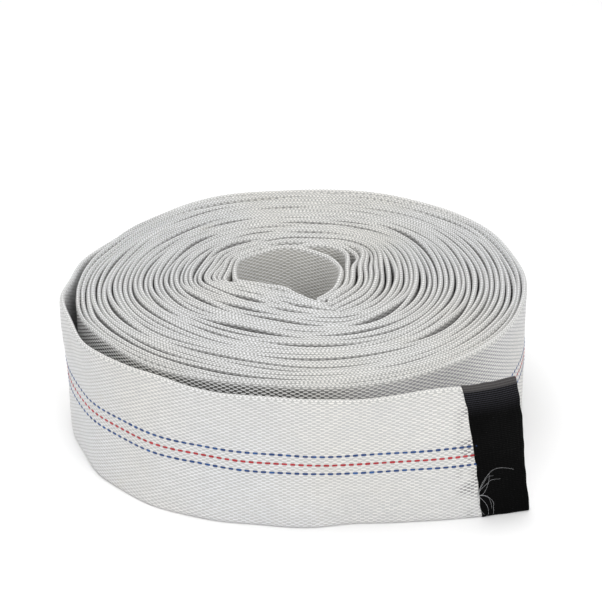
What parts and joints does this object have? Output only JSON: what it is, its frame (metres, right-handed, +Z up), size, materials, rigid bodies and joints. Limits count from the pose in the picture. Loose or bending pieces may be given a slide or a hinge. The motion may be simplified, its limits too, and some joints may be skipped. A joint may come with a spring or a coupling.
{
  "type": "rolled fire hose",
  "caption": "Lay-flat fire hose with a woven white jacket, rolled up flat on its edge, its taped free end standing away from the roll.",
  "frame": {"origin": "bottom centre of the whole object's box, on the floor the roll lies on", "axes": "+Z up along the roll's axis; the free tail runs along the front, -Y, and its taped end points towards +X"},
  "size_m": [0.2746, 0.2804, 0.084],
  "materials": {
    "jacket": "coarse plain weave of off-white polyester yarn, slightly glossy floats",
    "lining": "smooth matt black rubber tube",
    "tracer_red": "dyed red polyester yarn",
    "tracer_blue": "dyed blue polyester yarn",
    "tape": "satin black plastic tape drawn tight over the weave"
  },
  "bodies": {
    "roll": {"hose_roll": "jacket", "jacket_outer_turn": "jacket", "lining_outer_turn": "lining", "tracer_red_outer_turn": "tracer_red", "tracers_blue_outer_turn": "tracer_blue"},
    "tail_1": {"jacket_tail_1": "jacket", "lining_tail_1": "lining", "tracer_red_tail_1": "tracer_red", "tracers_blue_tail_1": "tracer_blue"},
    "tail_2": {"jacket_tail_2": "jacket", "lining_tail_2": "lining", "tracer_red_tail_2": "tracer_red", "tracers_blue_tail_2": "tracer_blue"},
    "tail_3": {"jacket_tail_3": "jacket", "lining_tail_3": "lining", "tracer_red_tail_3": "tracer_red", "tracers_blue_tail_3": "tracer_blue"},
    "tail_4": {"jacket_tail_4": "jacket", "lining_tail_4": "lining", "tracer_red_tail_4": "tracer_red", "tracers_blue_tail_4": "tracer_blue"},
    "tail_5": {"jacket_tail_5": "jacket", "lining_tail_5": "lining", "tracer_red_tail_5": "tracer_red", "tracers_blue_tail_5": "tracer_blue", "end_tape": "tape"}
  },
  "joints": [
    {"name": "tail_peel", "type": "hinge", "parent": "roll", "child": "tail_1", "pos_m": [-0.11316, 0.07638, 0.042], "axis": [0, 0, -1], "range_deg": [0, 35]},
    {"name": "tail_bend_2", "type": "hinge", "parent": "tail_1", "child": "tail_2", "pos_m": [-0.13702, -0.01115, 0.042], "axis": [0, 0, -1], "range_deg": [0, 35.5]},
    {"name": "tail_bend_3", "type": "hinge", "parent": "tail_2", "child": "tail_3", "pos_m": [-0.11156, -0.08304, 0.042], "axis": [0, 0, -1], "range_deg": [0, 37]},
    {"name": "tail_bend_4", "type": "hinge", "parent": "tail_3", "child": "tail_4", "pos_m": [-0.03249, -0.13488, 0.042], "axis": [0, 0, -1], "range_deg": [0, 33]},
    {"name": "tail_bend_5", "type": "hinge", "parent": "tail_4", "child": "tail_5", "pos_m": [0.04699, -0.13592, 0.042], "axis": [0, 0, -1], "range_deg": [0, 15.5]}
  ],
  "couplings": [
    {"joint": "tail_bend_2", "follows": "tail_peel", "ratio": 1},
    {"joint": "tail_bend_3", "follows": "tail_peel", "ratio": 1.05},
    {"joint": "tail_bend_4", "follows": "tail_peel", "ratio": 0.93},
    {"joint": "tail_bend_5", "follows": "tail_peel", "ratio": 0.43}
  ]
}
